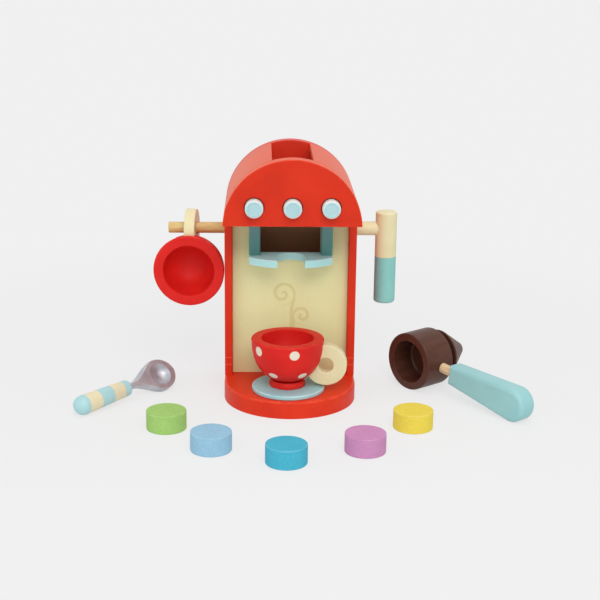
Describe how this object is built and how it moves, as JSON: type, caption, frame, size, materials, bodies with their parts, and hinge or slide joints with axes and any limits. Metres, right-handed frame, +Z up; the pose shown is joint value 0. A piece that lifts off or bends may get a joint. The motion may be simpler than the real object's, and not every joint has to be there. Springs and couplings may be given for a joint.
{
  "type": "toy coffee maker",
  "caption": "Wooden toy coffee machine with arched hood, push buttons, swinging frother, filter bracket and pod slot, with loose cups, saucer, filter holder, spoon and pods.",
  "frame": {"origin": "centre of the base's underside", "axes": "+Z up, the machine faces -Y, +X to the right of someone who looks at its front"},
  "size_m": [0.4564, 0.2743, 0.2575],
  "materials": {
    "red_paint": "satin red paint on wood",
    "cream_paint": "satin cream paint on wood",
    "blue_paint": "satin light blue paint on wood",
    "teal_paint": "satin teal paint on wood",
    "natural_wood": "clear lacquer on pale wood",
    "brown_stain": "dark brown stain and lacquer on turned wood",
    "cup_red": "satin red paint with cream dots on turned wood",
    "spring_steel": "bright drawn wire",
    "spoon_paint": "mauve silver metallic paint on wood",
    "spoon_bands": "teal, cream and light blue bands on turned wood",
    "pod_green": "matt green paint",
    "pod_sky": "matt sky blue paint",
    "pod_blue": "matt blue paint",
    "pod_pink": "matt pink paint",
    "pod_yellow": "matt yellow paint"
  },
  "bodies": {
    "housing": {"base": "red_paint", "side_panel_left": "red_paint", "side_panel_right": "red_paint", "front_panel": "cream_paint", "back_panel": "red_paint", "fascia": "red_paint", "roof_left": "red_paint", "roof_right": "red_paint", "hood_floor": "red_paint", "pod_chute": "red_paint", "cheek_left": "blue_paint", "cheek_right": "blue_paint", "filter_shelf": "blue_paint", "hanging_rod": "natural_wood", "rod_block": "natural_wood", "axle_block": "natural_wood", "button_spring_1": "spring_steel", "button_spring_2": "spring_steel", "button_spring_3": "spring_steel"},
    "button_left": {"button_cap_1": "blue_paint", "button_stem_1": "natural_wood", "button_collar_1": "natural_wood"},
    "button_middle": {"button_cap_2": "blue_paint", "button_stem_2": "natural_wood", "button_collar_2": "natural_wood"},
    "button_right": {"button_cap_3": "blue_paint", "button_stem_3": "natural_wood", "button_collar_3": "natural_wood"},
    "frother": {"frother_axle": "cream_paint", "frother_head": "cream_paint", "frother_wand": "teal_paint", "frother_collar": "natural_wood", "frother_pin": "natural_wood"},
    "saucer": {"saucer": "blue_paint"},
    "cup": {"cup_bowl": "cup_red", "cup_handle": "cream_paint"},
    "hanging_cup": {"hanging_cup_bowl": "cup_red", "hanging_cup_handle": "cream_paint"},
    "filter_holder": {"filter_cup": "brown_stain", "filter_dowel": "natural_wood", "filter_handle": "teal_paint"},
    "spoon": {"spoon_head": "spoon_paint", "spoon_handle": "spoon_bands"},
    "pod_green": {"pod_green": "pod_green"},
    "pod_sky": {"pod_sky": "pod_sky"},
    "pod_blue": {"pod_blue": "pod_blue"},
    "pod_pink": {"pod_pink": "pod_pink"},
    "pod_yellow": {"pod_yellow": "pod_yellow"}
  },
  "joints": [
    {"name": "button_left_press", "type": "slide", "parent": "housing", "child": "button_left", "axis": [0, 1, 0], "range_m": [0, 0.0035], "stiffness_N_per_m": 250, "springref_m": -0.003, "deforming": ["button_spring_1"]},
    {"name": "button_middle_press", "type": "slide", "parent": "housing", "child": "button_middle", "axis": [0, 1, 0], "range_m": [0, 0.0035], "stiffness_N_per_m": 250, "springref_m": -0.003, "deforming": ["button_spring_2"]},
    {"name": "button_right_press", "type": "slide", "parent": "housing", "child": "button_right", "axis": [0, 1, 0], "range_m": [0, 0.0035], "stiffness_N_per_m": 250, "springref_m": -0.003, "deforming": ["button_spring_3"]},
    {"name": "frother_turn", "type": "hinge", "parent": "housing", "child": "frother", "pos_m": [0.0675, 0.04465, 0.168], "axis": [1, 0, 0], "continuous": true},
    {"name": "saucer_lift", "type": "slide", "parent": "housing", "child": "saucer", "axis": [0, 0, 1], "range_m": [0, 0.03]},
    {"name": "cup_lift", "type": "slide", "parent": "saucer", "child": "cup", "axis": [0, 0, 1], "range_m": [0, 0.035]},
    {"name": "hanging_cup_slide", "type": "slide", "parent": "housing", "child": "hanging_cup", "axis": [-1, 0, 0], "range_m": [0, 0.045]},
    {"name": "filter_holder_lift", "type": "slide", "parent": "housing", "child": "filter_holder", "axis": [0, 0, 1], "range_m": [0, 0.02]},
    {"name": "spoon_lift", "type": "slide", "parent": "housing", "child": "spoon", "axis": [0, 0, 1], "range_m": [0, 0.03]},
    {"name": "pod_green_lift", "type": "slide", "parent": "housing", "child": "pod_green", "axis": [0, 0, 1], "range_m": [0, 0.03]},
    {"name": "pod_sky_lift", "type": "slide", "parent": "housing", "child": "pod_sky", "axis": [0, 0, 1], "range_m": [0, 0.03]},
    {"name": "pod_blue_lift", "type": "slide", "parent": "housing", "child": "pod_blue", "axis": [0, 0, 1], "range_m": [0, 0.03]},
    {"name": "pod_pink_lift", "type": "slide", "parent": "housing", "child": "pod_pink", "axis": [0, 0, 1], "range_m": [0, 0.03]},
    {"name": "pod_yellow_lift", "type": "slide", "parent": "housing", "child": "pod_yellow", "axis": [0, 0, 1], "range_m": [0, 0.03]}
  ]
}
